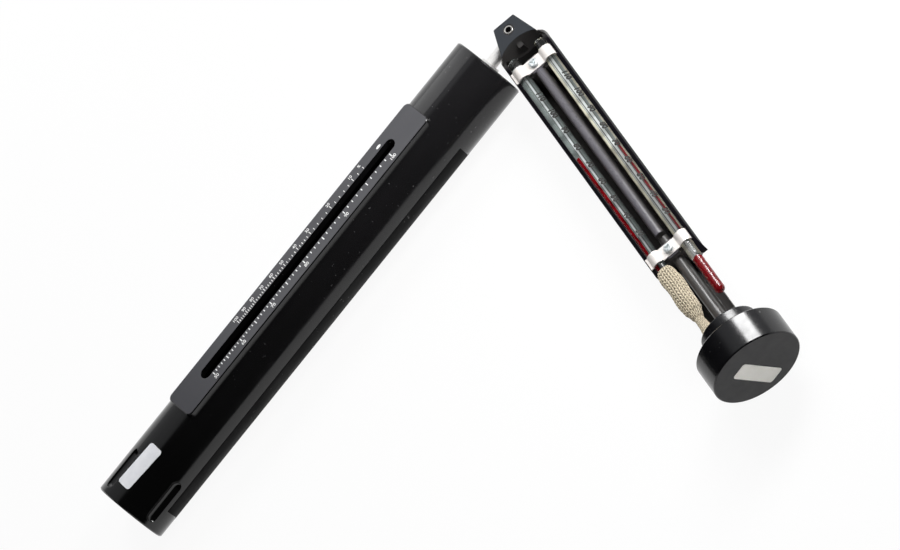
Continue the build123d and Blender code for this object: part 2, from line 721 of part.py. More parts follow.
os.makedirs("parts", exist_ok=True)
export_step(handle_tube.part, "parts/handle_tube.step")
export_step(handle_sticker.part, "parts/handle_sticker.step")
export_step(handle_end_plug.part, "parts/handle_end_plug.step")
export_step(swivel_slider.part, "parts/swivel_slider.step")
export_step(swivel_rod.part, "parts/swivel_rod.step")
export_step(thrust_washers.part, "parts/thrust_washers.step")
export_step(rod_nut.part, "parts/rod_nut.step")
export_step(hinge_rivet.part, "parts/hinge_rivet.step")
export_step(hinge_washers.part, "parts/hinge_washers.step")
export_step(carrier_body.part, "parts/carrier_body.step")
export_step(dry_glass, "parts/dry_glass.step")
export_step(dry_spirit, "parts/dry_spirit.step")
export_step(wet_glass, "parts/wet_glass.step")
export_step(wet_spirit, "parts/wet_spirit.step")
export_step(upper_clip, "parts/upper_clip.step")
export_step(upper_clip_screw, "parts/upper_clip_screw.step")
export_step(lower_clip, "parts/lower_clip.step")
export_step(lower_clip_screw, "parts/lower_clip_screw.step")
export_step(wick.part, "parts/wick.step")
export_step(reservoir_seal.part, "parts/reservoir_seal.step")
export_step(cap_shell.part, "parts/cap_shell.step")
export_step(cap_neck_ring.part, "parts/cap_neck_ring.step")
export_step(cap_sticker.part, "parts/cap_sticker.step")
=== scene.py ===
import bpy
import bmesh
import math
from mathutils import Matrix, Vector


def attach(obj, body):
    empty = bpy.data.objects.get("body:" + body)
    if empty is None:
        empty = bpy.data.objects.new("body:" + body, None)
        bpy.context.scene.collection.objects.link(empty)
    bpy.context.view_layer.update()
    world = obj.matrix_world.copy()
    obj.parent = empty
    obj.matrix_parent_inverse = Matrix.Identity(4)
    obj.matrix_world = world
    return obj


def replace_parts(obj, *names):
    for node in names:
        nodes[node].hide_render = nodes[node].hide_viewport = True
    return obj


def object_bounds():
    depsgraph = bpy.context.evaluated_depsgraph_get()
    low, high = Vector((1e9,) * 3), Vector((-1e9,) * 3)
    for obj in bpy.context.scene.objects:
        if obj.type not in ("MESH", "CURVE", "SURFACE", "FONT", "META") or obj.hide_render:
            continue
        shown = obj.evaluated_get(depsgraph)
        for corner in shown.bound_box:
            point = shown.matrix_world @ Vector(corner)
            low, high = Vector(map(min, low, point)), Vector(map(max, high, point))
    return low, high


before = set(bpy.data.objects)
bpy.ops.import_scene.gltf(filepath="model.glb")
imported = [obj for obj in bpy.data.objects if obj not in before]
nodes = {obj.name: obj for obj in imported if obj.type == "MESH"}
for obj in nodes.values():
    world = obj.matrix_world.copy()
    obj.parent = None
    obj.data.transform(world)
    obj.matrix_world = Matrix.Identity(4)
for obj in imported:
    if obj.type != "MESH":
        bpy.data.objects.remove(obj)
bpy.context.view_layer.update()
mm = 0.001

# places that everything else is laid out from, in mm, as the model was drawn
foldTurn = math.radians(76.5)
upward = Vector((0, 0.022193, 0.999754))
along = Vector((-math.cos(foldTurn), -math.sin(foldTurn) * upward.z, math.sin(foldTurn) * upward.y))
across = upward.cross(along)
pivot = Vector((224.9, 0, 0))


def onCarrier(run, side, height):
    return (pivot + along * run + across * side + upward * height) * mm


padTurn = math.radians(12.4)
padNormal = Vector((0, math.sin(padTurn), math.cos(padTurn)))
padSide = Vector((0, math.cos(padTurn), -math.sin(padTurn)))


def onPad(run, side, height):
    return (Vector((run, 0, 0)) + padSide * side + padNormal * height) * mm


# ---- camera, light and floor
cameraSet = {
    "place": (0.134554, -1.611617, 2.530999),
    "right": (0.627190, -0.662816, -0.409034),
    "up": (0.778863, 0.532176, 0.331904),
    "back": (-0.002313, -0.526748, 0.850018),
    "lens": 327.14,
}
camData = bpy.data.cameras.new("camera")
camData.sensor_width = 36
camData.sensor_fit = "HORIZONTAL"
camData.lens = cameraSet["lens"]
camData.clip_end = 100
camera = bpy.data.objects.new("camera", camData)
bpy.context.scene.collection.objects.link(camera)
turn = Matrix((cameraSet["right"], cameraSet["up"], cameraSet["back"])).transposed()
camera.matrix_world = Matrix.Translation(cameraSet["place"]) @ turn.to_4x4()
bpy.context.scene.camera = camera
bpy.context.scene.view_settings.view_transform = "Standard"

studio = {
    "skyEdge": 16,  # degrees past overhead where the bright backdrop begins
    "skySoft": (-0.04, 0.10),
    "skyBright": 0.5,
    "skyDark": 0.03,
    "skySide": (-0.32, 0.0),  # the backdrop fades out towards the closed end of the handle
    "skyColor": (0.96, 0.975, 1),
    "floorGlow": 0.92,
    "floorColor": (0.9, 0.9, 0.9),
    "floorReach": 30,
    "floorDrop": 0.0001,
}


def addLamp(name, lampSet):
    # a lamp with a height is a pane, whose width runs in the level direction
    data = bpy.data.lights.new(name, "AREA")
    data.energy = lampSet["power"]
    data.size = lampSet["size"]
    place, target = Vector(lampSet["place"]), Vector(lampSet["target"])
    out = (place - target).normalized()
    if "height" in lampSet:
        data.shape = "RECTANGLE"
        data.size_y = lampSet["height"]
    else:
        data.shape = "DISK"
    level = Vector(lampSet["level"])
    side = (level - out * level.dot(out)).normalized()
    lamp = bpy.data.objects.new(name, data)
    turn = Matrix((side, out.cross(side), out)).transposed()
    lamp.matrix_world = Matrix.Translation(place) @ turn.to_4x4()
    lamp.visible_glossy = lampSet["shines"]
    lamp.visible_transmission = False
    bpy.context.scene.collection.objects.link(lamp)


def besideCarrier(run, turn, distance):
    # where a lamp is mirrored at this run and turn of the carrier, its target and its level direction
    toCamera = Vector(cameraSet["back"])
    turned = math.radians(2 * turn) - math.atan2(toCamera.dot(upward), toCamera.dot(across))
    downward = -toCamera.dot(along)
    sideways = (across * math.cos(turned) + upward * math.sin(turned)) * math.sqrt(1 - downward ** 2)
    away = along * downward + sideways
    target = onCarrier(run, 0, 2)
    return {"place": target + away * distance, "target": target, "level": away.cross(along)}


alongTube = (1, 0, 0)
middle = (0.12, -0.06, 0)
lamps = {
    "keyLamp": {"place": (0.80, 0.90, 1.52), "target": middle, "level": alongTube, "size": 0.75, "power": 11,
                "shines": False},
    "fillLamp": {"place": (-0.5, -0.9, 1.7), "target": middle, "level": alongTube, "size": 1.0, "power": 12,
                 "shines": False},
    "capPane": {**besideCarrier(168, 65, 0.3), "size": 0.15, "height": 0.07, "power": 0.9, "shines": True},
    "tubePane": {"place": (0.140, 0.225, 0.128), "target": (0.140, 0, 0), "level": alongTube, "size": 0.16,
                 "height": 0.24, "power": 0.15, "shines": True},
}
for name, lampSet in lamps.items():
    addLamp(name, lampSet)


def plug(tree, source, target):
    tree.links.new(source, target)


def addNode(tree, kind, **settings):
    node = tree.nodes.new("ShaderNode" + kind)
    for key, value in settings.items():
        setattr(node, key, value)
    return node


def mathNode(tree, operation, first, second):
    node = addNode(tree, "Math", operation=operation)
    for socket, value in zip(node.inputs, (first, second)):
        if isinstance(value, (int, float)):
            socket.default_value = value
        else:
            plug(tree, value, socket)
    return node.outputs[0]


def allOf(tree, first, *others):
    for other in others:
        first = mathNode(tree, "MULTIPLY", first, other)
    return first


def dotWith(tree, place, direction):
    node = addNode(tree, "VectorMath", operation="DOT_PRODUCT")
    plug(tree, place, node.inputs[0])
    node.inputs[1].default_value = direction
    return node.outputs["Value"]


def between(tree, value, fromMin, fromMax, toMin, toMax, kind="LINEAR"):
    node = addNode(tree, "MapRange", interpolation_type=kind)
    plug(tree, value, node.inputs["Value"])
    for key, number in zip(("From Min", "From Max", "To Min", "To Max"), (fromMin, fromMax, toMin, toMax)):
        node.inputs[key].default_value = number
    return node.outputs["Result"]


def mixShader(tree, share, first, second):
    node = addNode(tree, "MixShader")
    for socket, source in zip(node.inputs, (share, first, second)):
        plug(tree, source, socket)
    return node.outputs[0]


# world: white for the camera, a bright backdrop behind the object, a dim room behind the camera
world = bpy.data.worlds.new("studio")
bpy.context.scene.world = world
world.use_nodes = True
tree = world.node_tree
tree.nodes.clear()
direction = addNode(tree, "TexCoord").outputs["Generated"]
edge = math.radians(studio["skyEdge"])
slope = dotWith(tree, direction, (0, math.cos(edge), -math.sin(edge)))
spread = between(tree, slope, *studio["skySoft"], studio["skyDark"], studio["skyBright"], "SMOOTHSTEP")
aside = between(tree, dotWith(tree, direction, alongTube), *studio["skySide"], 0, 1, "SMOOTHSTEP")
sky = addNode(tree, "Background")
sky.inputs["Color"].default_value = (*studio["skyColor"], 1)
plug(tree, allOf(tree, spread, aside), sky.inputs["Strength"])
white = addNode(tree, "Background")
white.inputs["Color"].default_value = (1, 1, 1, 1)
seen = addNode(tree, "LightPath").outputs["Is Camera Ray"]
surface = mixShader(tree, seen, sky.outputs[0], white.outputs[0])
plug(tree, surface, addNode(tree, "OutputWorld").inputs["Surface"])

# floor: pale, shows as white, keeps the shadow
floorMesh = bpy.data.meshes.new("floor")
reach = studio["floorReach"]
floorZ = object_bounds()[0][2] - studio["floorDrop"]
floorMesh.from_pydata(
    [(-reach, -reach, floorZ), (reach, -reach, floorZ), (reach, reach, floorZ), (-reach, reach, floorZ)],
    [], [(0, 1, 2, 3)])
floor = bpy.data.objects.new("floor", floorMesh)
bpy.context.scene.collection.objects.link(floor)
floorPaint = bpy.data.materials.new("floorPaper")
floorPaint.use_nodes = True
tree = floorPaint.node_tree
tree.nodes.clear()
rays = addNode(tree, "LightPath")
matt = addNode(tree, "BsdfDiffuse")
matt.inputs["Color"].default_value = (*studio["floorColor"], 1)
glow = addNode(tree, "Emission")
glow.inputs["Strength"].default_value = 1
seen = mathNode(tree, "MAXIMUM", rays.outputs["Is Camera Ray"], rays.outputs["Is Glossy Ray"])
seen = mathNode(tree, "MAXIMUM", seen, rays.outputs["Is Transmission Ray"])
share = mathNode(tree, "MULTIPLY", seen, studio["floorGlow"])
surface = mixShader(tree, share, matt.outputs[0], glow.outputs[0])
plug(tree, surface, addNode(tree, "OutputMaterial").inputs["Surface"])
floorMesh.materials.append(floorPaint)
print("camera, lamps and floor are set")


# ---- materials
def startMaterial(name):
    material = bpy.data.materials.new(name)
    material.use_nodes = True
    tree = material.node_tree
    shader = next(node for node in tree.nodes if node.type == "BSDF_PRINCIPLED")
    place = addNode(tree, "TexCoord").outputs["Object"]
    return material, tree, shader, place


def stretched(tree, place, scale):
    move = addNode(tree, "Mapping")
    move.inputs["Scale"].default_value = scale
    plug(tree, place, move.inputs["Vector"])
    return move.outputs["Vector"]


def noise(tree, place, scale, detail=2, roughness=0.5):
    node = addNode(tree, "TexNoise")
    node.inputs["Scale"].default_value = scale
    node.inputs["Detail"].default_value = detail
    node.inputs["Roughness"].default_value = roughness
    plug(tree, place, node.inputs["Vector"])
    return node.outputs["Fac"]


def blendColor(tree, share, first, second):
    node = addNode(tree, "Mix", data_type="RGBA")
    plug(tree, share, node.inputs["Factor"])
    for key, value in (("A", first), ("B", second)):
        socket = next(entry for entry in node.inputs if entry.name == key and entry.type == "RGBA")
        if isinstance(value, tuple):
            socket.default_value = (*value, 1)
        else:
            plug(tree, value, socket)
    return next(entry for entry in node.outputs if entry.type == "RGBA")


def bump(tree, shader, height, depth, under=None):
    node = addNode(tree, "Bump")
    node.inputs["Strength"].default_value = 1
    node.inputs["Distance"].default_value = depth
    plug(tree, height, node.inputs["Height"])
    if under is not None:
        plug(tree, under, node.inputs["Normal"])
    plug(tree, node.outputs["Normal"], shader.inputs["Normal"])
    return node.outputs["Normal"]


def runDown(tree, place):
    # place along the carrier, counted from the hinge
    return mathNode(tree, "SUBTRACT", dotWith(tree, place, along), pivot.dot(along) * mm)


def runAside(tree, place, side=0):
    # place across the carrier, counted from its middle or from a line beside it
    return mathNode(tree, "SUBTRACT", dotWith(tree, place, across), (pivot.dot(across) + side) * mm)


# masks over a span in mm
def rising(tree, value, span):
    return between(tree, value, span[0] * mm, span[1] * mm, 0, 1)


def falling(tree, value, span):
    return between(tree, value, span[0] * mm, span[1] * mm, 1, 0)


def reopened(material):
    # the parts of a finished material, for a change to one region
    tree = material.node_tree
    shader = next(node for node in tree.nodes if node.type == "BSDF_PRINCIPLED")
    place = next(node for node in tree.nodes if node.type == "TEX_COORD").outputs["Object"]
    return tree, shader, place


def feeding(socket):
    return socket.links[0].from_socket


def mouldedPlastic(name, look):
    material, tree, shader, place = startMaterial(name)
    cloud = noise(tree, place, look["cloudScale"], detail=3)
    dust = noise(tree, place, look["dustScale"], detail=1)
    specks = between(tree, dust, look["dustFrom"], look["dustFrom"] + look["dustSoft"], 0, 1)
    body = blendColor(tree, cloud, look["color"], look["colorTwo"])
    plug(tree, blendColor(tree, specks, body, look["dustColor"]), shader.inputs["Base Color"])
    wear = noise(tree, stretched(tree, place, look["wearStretch"]), look["wearScale"], detail=4, roughness=0.6)
    wear = between(tree, wear, *look["wearRange"], look["rough"], look["roughTwo"])
    plug(tree, wear, shader.inputs["Roughness"])
    soft = addNode(tree, "Bevel", samples=4)
    soft.inputs["Radius"].default_value = look["edgeRound"]
    grain = noise(tree, place, look["grainScale"])
    waves = noise(tree, place, look["waveScale"], detail=1)
    wavy = bump(tree, shader, waves, look["waveDepth"], soft.outputs["Normal"])
    bump(tree, shader, grain, look["grainDepth"], wavy)
    shader.inputs["IOR"].default_value = look["ior"]
    return material


handlePlastic = {
    "color": (0.008, 0.0078, 0.0085), "colorTwo": (0.013, 0.0125, 0.0135), "cloudScale": 60,
    "dustColor": (0.09, 0.09, 0.09), "dustScale": 900, "dustFrom": 0.74, "dustSoft": 0.04,
    "wearStretch": (0.25, 1, 1), "wearScale": 260, "wearRange": (0.35, 0.7), "rough": 0.12, "roughTwo": 0.22,
    "edgeRound": 0.00025, "grainScale": 2600, "grainDepth": 0.000004,
    "waveScale": 45, "waveDepth": 0.00006, "ior": 1.5,
}
carrierPlastic = dict(
    handlePlastic, color=(0.020, 0.019, 0.0185), colorTwo=(0.034, 0.032, 0.031),
    rough=0.3, roughTwo=0.44, dustFrom=0.86, wearStretch=(1, 0.4, 1),
    grainScale=1900, grainDepth=0.000008, waveDepth=0.00003)
capPlastic = dict(
    handlePlastic, color=(0.003, 0.003, 0.0035), colorTwo=(0.006, 0.006, 0.007), rough=0.16, roughTwo=0.24,
    wearStretch=(1, 1, 1), waveDepth=0.00003)
plugPlastic = dict(carrierPlastic, rough=0.35, roughTwo=0.5)


def paintNode(node, material):
    nodes[node].data.materials.clear()
    nodes[node].data.materials.append(material)


def handleFinish(name, look, pad):
    # painted shade makes the tube almost black towards the closed end, and the flat of the pad gets a lighter,
    # duller tone, the lighter part painted in as its reflection of the backdrop
    material = mouldedPlastic(name, look)
    tree, shader, place = reopened(material)
    # painted shade: the colour darkens towards the closed end
    toMouth = rising(tree, dotWith(tree, place, alongTube), pad["endShadeRun"])
    color = blendColor(tree, toMouth, pad["paintedEndShade"], feeding(shader.inputs["Base Color"]))
    # painted reflection: the pad's flat gets a lighter, bluish tone, besides its rougher finish
    onFace = rising(tree, dotWith(tree, place, padNormal), pad["height"])
    plug(tree, blendColor(tree, onFace, color, pad["color"]), shader.inputs["Base Color"])
    extra = mathNode(tree, "MULTIPLY", onFace, pad["rougher"])
    plug(tree, mathNode(tree, "ADD", feeding(shader.inputs["Roughness"]), extra), shader.inputs["Roughness"])
    return material


padSheenAndEndShade = {
    # the pad's colour is partly a painted reflection of the backdrop
    "height": (14.78, 14.84), "color": (0.042, 0.042, 0.049), "rougher": 0.16,
    # the dark end colour is painted shade
    "endShadeRun": (20, 200), "paintedEndShade": (0.001, 0.001, 0.001),
}
paintNode("handle_tube", handleFinish("handlePlastic", handlePlastic, padSheenAndEndShade))
paintNode("handle_end_plug", mouldedPlastic("plugPlastic", plugPlastic))
paintNode("swivel_slider", mouldedPlastic("sliderPlastic", plugPlastic))


def carrierFinish(name, look, region):
    # flat of the head with a bluish tone painted in as reflection, the trough's floor lightened with painted
    # light, the rib's top with a painted highlight, the collar, and the nearly black walls with their rims
    # darkened as painted shade
    material = mouldedPlastic(name, look)
    tree, shader, place = reopened(material)
    down = runDown(tree, place)
    height = dotWith(tree, place, upward)
    aside = mathNode(tree, "ABSOLUTE", runAside(tree, place), 0)
    onHead = allOf(
        tree, rising(tree, height, region["headHeight"]), falling(tree, down, region["headEnd"]))
    onWall = allOf(
        tree, rising(tree, aside, region["wallSide"]), rising(tree, down, region["wallStart"]),
        falling(tree, down, region["wallEnd"]))
    onCollar = rising(tree, down, region["collarStart"])
    onFloor = allOf(
        tree, rising(tree, down, region["floorStart"]), falling(tree, down, region["floorEnd"]),
        falling(tree, aside, region["floorSide"]))
    onRib = allOf(
        tree, onFloor, rising(tree, height, region["ribHeight"]), falling(tree, aside, region["ribSide"]))
    # painted reflection: bluish tint on the head's flat
    color = blendColor(tree, onHead, feeding(shader.inputs["Base Color"]), region["headReflectionTint"])
    color = blendColor(tree, onCollar, color, region["collarColor"])
    # painted light: the trough's floor is lighter than the rest of the carrier
    color = blendColor(tree, onFloor, color, region["floorColor"])
    # painted highlight: lighter lilac streak on the rib's top
    color = blendColor(tree, onRib, color, region["ribPaintedHighlight"])
    # painted shade: the walls and rims are darkened nearly black
    plug(tree, blendColor(tree, onWall, color, region["wallPaintedShade"]), shader.inputs["Base Color"])
    rough = feeding(shader.inputs["Roughness"])
    rough = mathNode(tree, "ADD", rough, mathNode(tree, "MULTIPLY", onHead, region["headRough"]))
    rough = mathNode(tree, "SUBTRACT", rough, mathNode(tree, "MULTIPLY", onCollar, region["collarGloss"]))
    rough = mathNode(tree, "SUBTRACT", rough, mathNode(tree, "MULTIPLY", onRib, region["ribGloss"]))
    plug(tree, rough, shader.inputs["Roughness"])
    shine = between(tree, onWall, 0, 1, region["shine"], region["wallShine"])
    plug(tree, shine, shader.inputs["Specular IOR Level"])
    return material


carrierRegion = {
    # the head's tint is a painted reflection
    "headHeight": (5.25, 5.38), "headEnd": (11, 12), "headReflectionTint": (0.019, 0.0225, 0.028), "headRough": 0.02,
    "wallSide": (8.5, 8.62), "wallStart": (9, 12), "wallEnd": (128, 129),
    # the walls' colour is painted shade
    "wallPaintedShade": (0.004, 0.0035, 0.005), "wallShine": 0.02, "shine": 0.5,
    "collarStart": (154.2, 154.4), "collarColor": (0.005, 0.005, 0.006), "collarGloss": 0.1,
    "floorStart": (10, 14), "floorEnd": (153, 154), "floorSide": (8.4, 8.5),
    # the trough floor's colour is painted light
    "floorColor": (0.052, 0.048, 0.046),
    # the rib's colour is a painted highlight
    "ribHeight": (1.9, 3.0), "ribSide": (2.0, 2.1), "ribPaintedHighlight": (0.105, 0.100, 0.114), "ribGloss": 0.1,
}
paintNode("carrier_body", carrierFinish("carrierPlastic", carrierPlastic, carrierRegion))
paintNode("cap_neck_ring", mouldedPlastic("neckPlastic", plugPlastic))


def capFinish(name, look, end):
    # the cap's end is duller than its side
    material = mouldedPlastic(name, look)
    tree, shader, place = reopened(material)
    onEnd = rising(tree, runDown(tree, place), end["run"])
    color = blendColor(tree, onEnd, feeding(shader.inputs["Base Color"]), end["color"])
    plug(tree, color, shader.inputs["Base Color"])
    extra = mathNode(tree, "MULTIPLY", onEnd, end["rougher"])
    plug(tree, mathNode(tree, "ADD", feeding(shader.inputs["Roughness"]), extra), shader.inputs["Roughness"])
    shine = between(tree, onEnd, 0, 1, end["sideShine"], end["shine"])
    plug(tree, shine, shader.inputs["Specular IOR Level"])
    return material


capEnd = {
    "run": (174.8, 174.89), "color": (0.011, 0.0105, 0.0115), "rougher": 0.25, "shine": 0.3, "sideShine": 0.5,
}
paintNode("cap_shell", capFinish("capPlastic", capPlastic, capEnd))


def metal(name, look):
    material, tree, shader, place = startMaterial(name)
    shader.inputs["Metallic"].default_value = look["metallic"]
    lines = noise(tree, stretched(tree, place, look["stretch"]), look["lineScale"], detail=3, roughness=0.7)
    plug(tree, blendColor(tree, lines, look["color"], look["colorTwo"]), shader.inputs["Base Color"])
    stain = noise(tree, place, look["stainScale"])
    stain = between(tree, stain, *look["stainRange"], look["rough"], look["roughTwo"])
    plug(tree, stain, shader.inputs["Roughness"])
    bump(tree, shader, lines, look["depth"])
    return material


rodMetal = {
    "color": (0.86, 0.85, 0.83), "colorTwo": (0.95, 0.94, 0.92), "stretch": (6, 0.6, 0.6),
    "lineScale": 700, "stainScale": 350, "stainRange": (0.3, 0.7), "rough": 0.38, "roughTwo": 0.5,
    "depth": 0.000006, "metallic": 0.7,
}
clipMetal = dict(
    rodMetal, color=(0.80, 0.755, 0.72), colorTwo=(0.92, 0.88, 0.85), stretch=(1, 1, 1), lineScale=1200,
    rough=0.42, roughTwo=0.6, metallic=0.45)
screwMetal = dict(
    rodMetal, color=(0.74, 0.80, 0.82), colorTwo=(0.93, 0.96, 0.96), stretch=(1, 1, 1), lineScale=900,
    stainScale=900, rough=0.3, roughTwo=0.5)
rivetMetal = dict(
    rodMetal, color=(0.70, 0.68, 0.64), colorTwo=(0.88, 0.86, 0.82), rough=0.2, roughTwo=0.34, metallic=1)
washerMetal = dict(screwMetal, rough=0.3, roughTwo=0.42)
paintNode("swivel_rod", metal("rodMetal", rodMetal))


def rivetFinish(name, look, bore):
    # the rivet is hollow, and its hole is painted dark as shade
    material = metal(name, look)
    tree, shader, place = reopened(material)
    flat = addNode(tree, "CombineXYZ")
    plug(tree, runDown(tree, place), flat.inputs[0])
    plug(tree, runAside(tree, place), flat.inputs[1])
    radius = addNode(tree, "VectorMath", operation="LENGTH")
    plug(tree, flat.outputs[0], radius.inputs[0])
    inBore = falling(tree, radius.outputs["Value"], bore["radius"])
    color = feeding(shader.inputs["Base Color"])
    # painted shade inside the rivet's hole
    plug(tree, blendColor(tree, inBore, color, bore["color"]), shader.inputs["Base Color"])
    plug(tree, between(tree, inBore, 0, 1, look["metallic"], 0), shader.inputs["Metallic"])
    return material


rivetBoreShade = {"radius": (1.2, 1.28), "color": (0.004, 0.003, 0.003)}
paintNode("hinge_rivet", rivetFinish("rivetMetal", rivetMetal, rivetBoreShade))
for name in ("thrust_washers", "rod_nut", "hinge_washers"):
    paintNode(name, metal(name + "Metal", washerMetal))
clipFinish = metal("clipMetal", clipMetal)
screwFinish = metal("screwMetal", screwMetal)
for name in ("upper_clip", "lower_clip"):
    paintNode(name, clipFinish)
    paintNode(name + "_screw", screwFinish)


def labelPaper(name, look):
    material, tree, shader, place = startMaterial(name)
    fibre = noise(tree, place, look["fibreScale"], detail=4, roughness=0.65)
    smudge = noise(tree, place, look["smudgeScale"])
    base = blendColor(tree, fibre, look["color"], look["colorTwo"])
    dirt = between(tree, smudge, *look["smudgeRange"], 0, look["dirt"])
    plug(tree, blendColor(tree, dirt, base, look["dirtColor"]), shader.inputs["Base Color"])
    shader.inputs["Roughness"].default_value = look["rough"]
    bump(tree, shader, fibre, look["depth"])
    return material


whiteLabel = {
    "color": (0.78, 0.79, 0.82), "colorTwo": (0.86, 0.87, 0.90), "fibreScale": 2400,
    "smudgeScale": 260, "smudgeRange": (0.45, 0.75), "dirt": 0.25, "dirtColor": (0.55, 0.56, 0.62),
    "rough": 0.45, "depth": 0.000004,
}
creamLabel = dict(
    whiteLabel, color=(0.97, 0.95, 0.88), colorTwo=(1.0, 0.98, 0.92), dirt=0.1, dirtColor=(0.66, 0.62, 0.52))
paintNode("handle_sticker", labelPaper("whiteSticker", whiteLabel))
paintNode("cap_sticker", labelPaper("creamSticker", creamLabel))


def clearGlass(name, look):
    # a little rougher at the bulb, and no dark shadow
    material, tree, shader, place = startMaterial(name)
    shader.inputs["Transmission Weight"].default_value = 1
    shader.inputs["IOR"].default_value = look["ior"]
    toBulb = rising(tree, runDown(tree, place), look["bulbFrom"])
    plug(tree, between(tree, toBulb, 0, 1, look["rough"], look["bulbRough"]), shader.inputs["Roughness"])
    smear = between(tree, noise(tree, place, look["smearScale"], detail=3), *look["smearRange"], 0, 1)
    plug(tree, blendColor(tree, smear, look["color"], look["smearColor"]), shader.inputs["Base Color"])
    output = next(node for node in tree.nodes if node.type == "OUTPUT_MATERIAL")
    shadow = addNode(tree, "BsdfTransparent")
    shadow.inputs["Color"].default_value = (*look["shadow"], 1)
    shadowRay = addNode(tree, "LightPath").outputs["Is Shadow Ray"]
    plug(tree, mixShader(tree, shadowRay, shader.outputs[0], shadow.outputs[0]), output.inputs["Surface"])
    return material


tubeGlass = {
    "color": (0.96, 0.98, 0.96), "smearColor": (0.88, 0.91, 0.88), "smearScale": 260,
    "smearRange": (0.45, 0.75), "ior": 1.47, "rough": 0.06, "bulbFrom": (118, 119), "bulbRough": 0.27,
    "shadow": (0.92, 0.94, 0.92),
}
glassFinish = clearGlass("thermometerGlass", tubeGlass)


def spiritFinish(name, look):
    material, tree, shader, place = startMaterial(name)
    depth = noise(tree, place, look["depthScale"])
    plug(tree, blendColor(tree, depth, look["color"], look["colorTwo"]), shader.inputs["Base Color"])
    shader.inputs["Roughness"].default_value = look["rough"]
    shader.inputs["Specular IOR Level"].default_value = 0
    return material


redSpirit = {
    "color": (0.135, 0.0025, 0.005), "colorTwo": (0.18, 0.0035, 0.007), "depthScale": 160, "rough": 0.35,
}
spirit = spiritFinish("redSpirit", redSpirit)


def rubberFinish(name, look):
    material, tree, shader, place = startMaterial(name)
    grain = noise(tree, place, look["grainScale"], detail=3)
    plug(tree, blendColor(tree, grain, look["color"], look["colorTwo"]), shader.inputs["Base Color"])
    shader.inputs["Roughness"].default_value = look["rough"]
    bump(tree, shader, grain, look["depth"])
    return material


sealRubber = {
    "color": (0.012, 0.012, 0.012), "colorTwo": (0.025, 0.025, 0.024), "grainScale": 1500, "rough": 0.7,
    "depth": 0.00001,
}
paintNode("reservoir_seal", rubberFinish("sealRubber", sealRubber))
print("finishes of the solid pieces are made")


# ---- mesh helpers
def addPiece(name, points, faces, material, body, smooth=True):
    mesh = bpy.data.meshes.new(name)
    mesh.from_pydata([tuple(point) for point in points], [], faces)
    mesh.validate()
    shape = bmesh.new()
    shape.from_mesh(mesh)
    bmesh.ops.recalc_face_normals(shape, faces=shape.faces)
    shape.to_mesh(mesh)
    shape.free()
    for face in mesh.polygons:
        face.use_smooth = smooth
    mesh.materials.append(material)
    piece = bpy.data.objects.new(name, mesh)
    bpy.context.scene.collection.objects.link(piece)
    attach(piece, body)
    return piece


def ringPoint(run, side, height, radius, turn):
    return onCarrier(run, side + radius * math.cos(turn), height + radius * math.sin(turn))


def ringFaces(rows, count, start=0):
    # walls between closed rings of points
    faces = []
    for row in range(rows - 1):
        low, high = start + row * count, start + (row + 1) * count
        for step in range(count):
            following = (step + 1) % count
            faces.append((low + step, low + following, high + following, high + step))
    return faces


def sheetFaces(steps):
    # bent sheet between four rows of points: near and far end of one side, then of the other
    count = steps + 1
    faces = []
    for step in range(steps):
        following = step + 1
        faces.append((step, following, count + following, count + step))
        faces.append((2 * count + step, 3 * count + step, 3 * count + following, 2 * count + following))
        faces.append((step, 2 * count + step, 2 * count + following, following))
        faces.append((count + step, count + following, 3 * count + following, 3 * count + step))
    for end in (0, steps):
        faces.append((end, count + end, 3 * count + end, 2 * count + end))
    return faces


def boxPoints(low, high, put):
    points = [put(x, y, z) for x in (low[0], high[0]) for y in (low[1], high[1]) for z in (low[2], high[2])]
    faces = [(0, 1, 3, 2), (4, 6, 7, 5), (0, 4, 5, 1), (2, 3, 7, 6), (0, 2, 6, 4), (1, 5, 7, 3)]
    return points, faces


def gather(points, faces, more):
    start = len(points)
    points.extend(more[0])
    faces.extend([tuple(index + start for index in face) for face in more[1]])


def numberPoints(text, size, at, put, thickness, bold):
    curve = bpy.data.curves.new("number", "FONT")
    curve.body = text
    curve.size = size
    curve.align_x = "CENTER"
    curve.align_y = "CENTER"
    curve.extrude = thickness / 2
    curve.offset = size * bold
    curve.resolution_u = 3
    holder = bpy.data.objects.new("number", curve)
    bpy.context.scene.collection.objects.link(holder)
    mesh = bpy.data.meshes.new_from_object(holder)
    points = [put(at[0] + vertex.co.x, at[1] + vertex.co.y, at[2] + vertex.co.z) for vertex in mesh.vertices]
    faces = [tuple(face.vertices) for face in mesh.polygons]
    bpy.data.objects.remove(holder)
    bpy.data.curves.remove(curve)
    bpy.data.meshes.remove(mesh)
    return points, faces


def inkFinish(name, look):
    material, tree, shader, place = startMaterial(name)
    worn = noise(tree, place, look["wornScale"], detail=3)
    plug(tree, blendColor(tree, worn, look["color"], look["colorTwo"]), shader.inputs["Base Color"])
    shader.inputs["Roughness"].default_value = look["rough"]
    return material


whiteInk = {"color": (0.80, 0.81, 0.80), "colorTwo": (0.92, 0.92, 0.91), "rough": 0.5, "wornScale": 1800}
blackInk = {"color": (0.004, 0.004, 0.004), "colorTwo": (0.02, 0.018, 0.015), "rough": 0.6, "wornScale": 1800}

